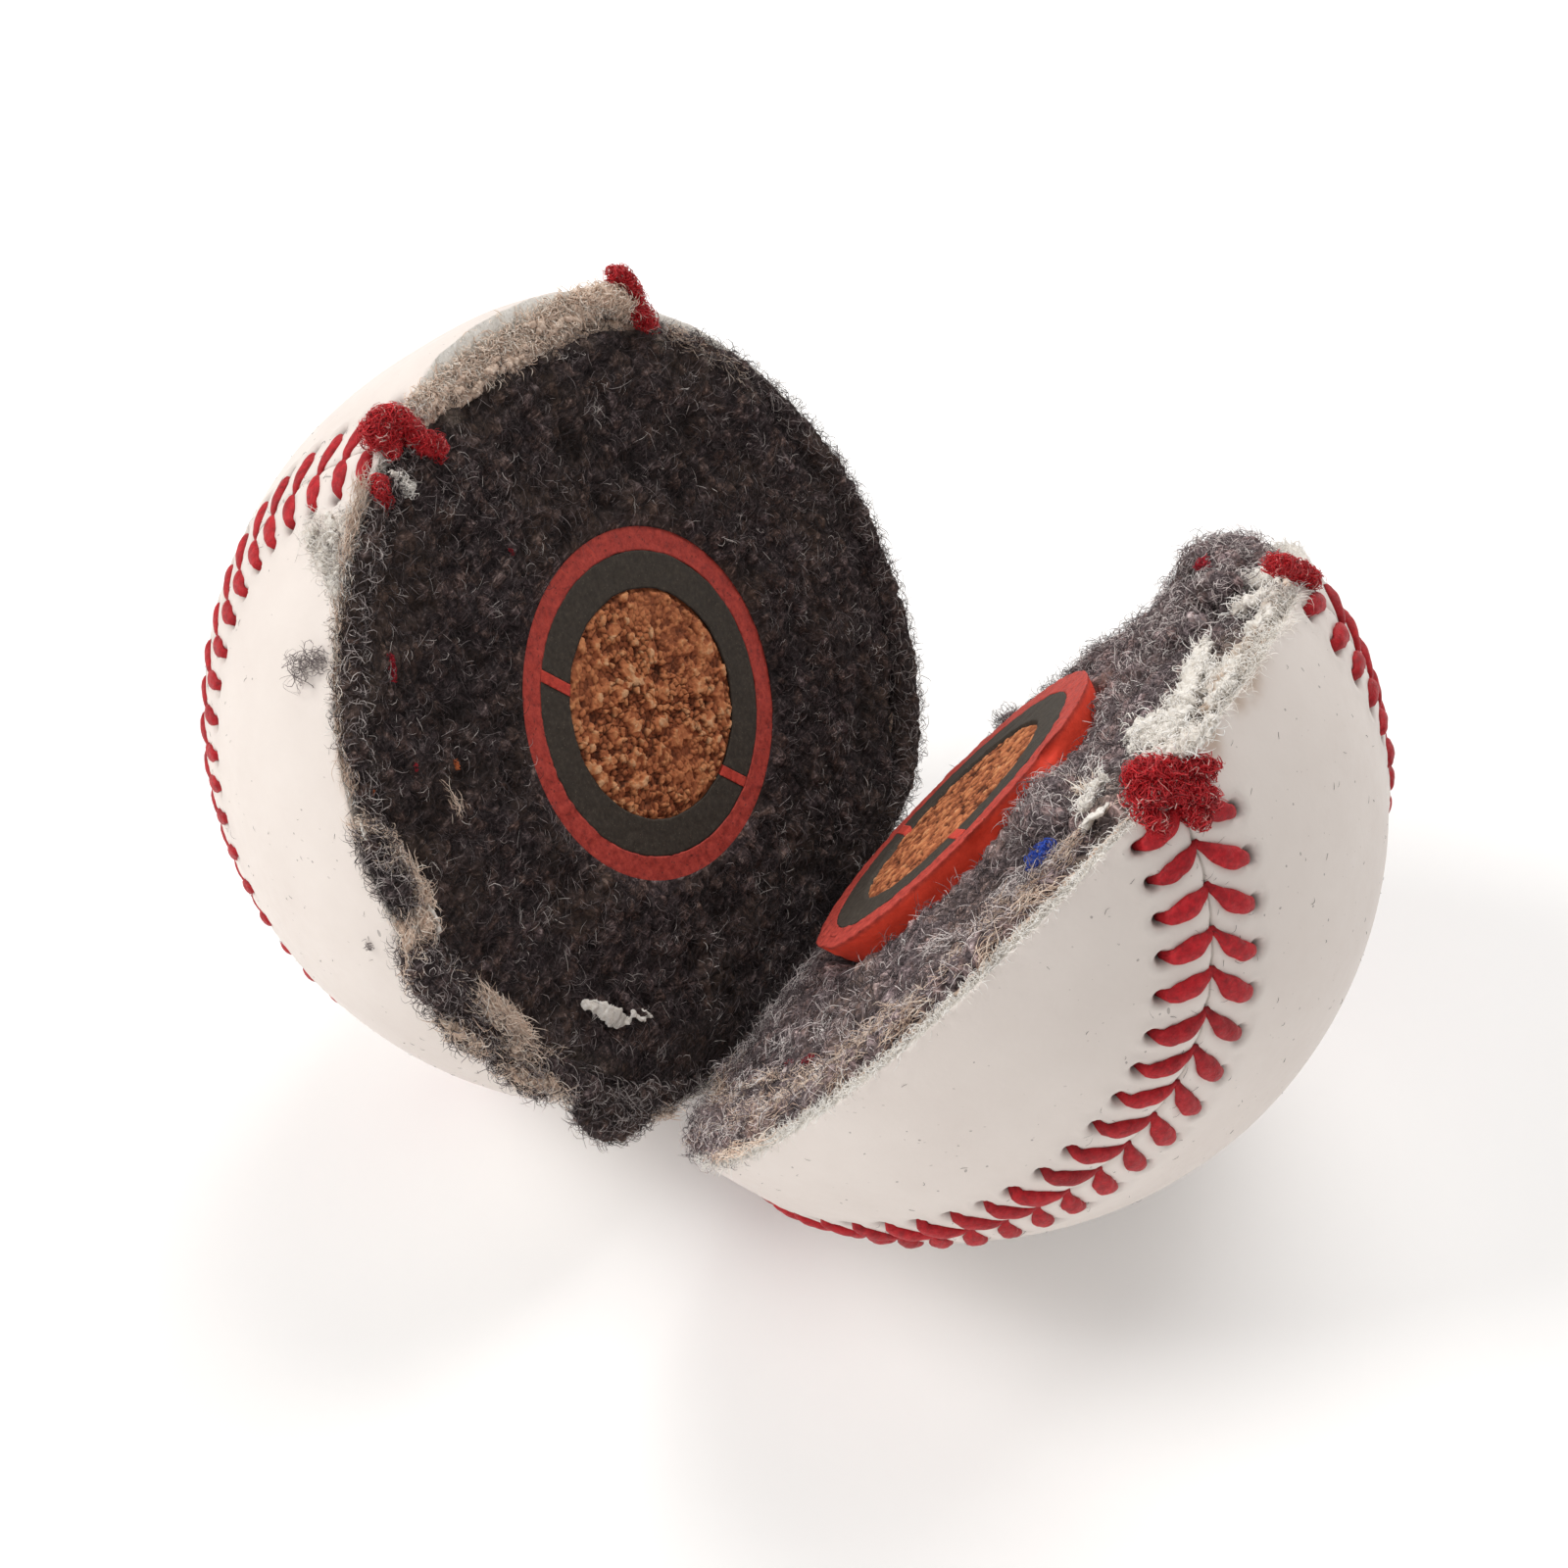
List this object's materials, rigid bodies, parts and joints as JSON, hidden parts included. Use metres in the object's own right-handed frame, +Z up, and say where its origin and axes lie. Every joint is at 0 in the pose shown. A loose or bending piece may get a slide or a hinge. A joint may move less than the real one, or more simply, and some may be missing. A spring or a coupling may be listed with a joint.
{
  "type": "baseball",
  "caption": "Baseball sawn almost through and opened like a book: stitched leather cover, wool windings, and a rubber and cork core, hinged at the uncut strip.",
  "frame": {"origin": "on the surface that the two halves rest on, midway under their centres", "axes": "+X runs across the opening from the left half to the right half, +Y along the fold, +Z up"},
  "size_m": [0.1092, 0.074, 0.0726],
  "materials": {
    "cover_leather": "smooth white horsehide-like cover leather, satin, with fine grain and small specks",
    "red_thread": "waxed red cotton stitching thread, slightly glossy",
    "finishing_yarn": "pale matte cotton finishing yarn",
    "outer_wool": "dark grey felted recycled wool yarn, fuzzy and matte",
    "inner_wool": "dark grey tightly wound wool yarn, matte",
    "red_rubber": "matte red rubber, sawn",
    "black_rubber": "matte black rubber, sawn",
    "cork": "granulated cork and rubber, rough"
  },
  "bodies": {
    "left_half": {"left_cover_panel_a": "cover_leather", "left_cover_panel_b": "cover_leather", "left_stitching": "red_thread", "left_finishing_yarn": "finishing_yarn", "left_outer_wool": "outer_wool", "left_inner_wool": "inner_wool", "left_core_cover": "red_rubber", "left_rubber_cup_a": "black_rubber", "left_rubber_cup_b": "black_rubber", "left_core_washer": "red_rubber", "left_cork_centre": "cork", "hinge_leather": "cover_leather", "hinge_wool": "outer_wool"},
    "right_half": {"right_cover_panel_a": "cover_leather", "right_cover_panel_b": "cover_leather", "right_stitching": "red_thread", "right_finishing_yarn": "finishing_yarn", "right_outer_wool": "outer_wool", "right_inner_wool": "inner_wool", "right_core_cover": "red_rubber", "right_rubber_cup_a": "black_rubber", "right_rubber_cup_b": "black_rubber", "right_core_washer": "red_rubber", "right_cork_centre": "cork"}
  },
  "joints": [
    {"name": "fold", "type": "hinge", "parent": "left_half", "child": "right_half", "pos_m": [0, 0, 0.00849], "axis": [0, 1, 0], "range_deg": [-45, 48]}
  ]
}
